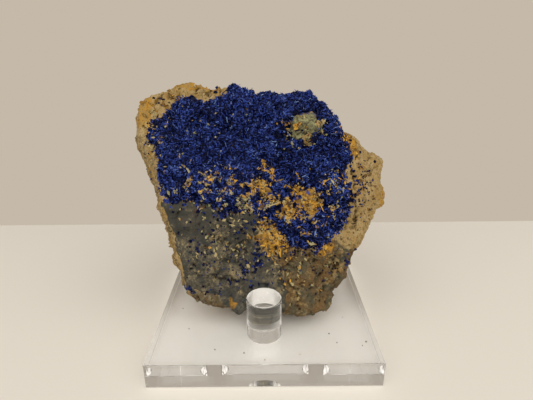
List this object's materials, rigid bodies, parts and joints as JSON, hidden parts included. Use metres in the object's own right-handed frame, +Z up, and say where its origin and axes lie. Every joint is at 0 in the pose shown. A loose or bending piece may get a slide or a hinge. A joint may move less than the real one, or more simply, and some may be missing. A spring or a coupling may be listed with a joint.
{
  "type": "azurite mineral specimen on acrylic stand",
  "caption": "Broken lump of iron-stained rock with a deep blue azurite crystal crust over its upper face, resting on a clear acrylic plate between round pegs.",
  "frame": {"origin": "centre of the underside of the acrylic plate", "axes": "+Z up; the azurite face looks along -Y, leaning back; +X is to the viewer's right"},
  "size_m": [0.1217, 0.1016, 0.1207],
  "materials": {
    "limonite_rock": "rough broken rock, grey to ochre, matt",
    "azurite": "druse of small bladed crystals, glassy",
    "clear_acrylic": "polished, clear"
  },
  "bodies": {
    "root": {"matrix_rock": "limonite_rock", "azurite_crust": "azurite", "base_plate": "clear_acrylic", "front_peg": "clear_acrylic", "back_peg_left": "clear_acrylic", "back_peg_right": "clear_acrylic"}
  },
  "joints": []
}
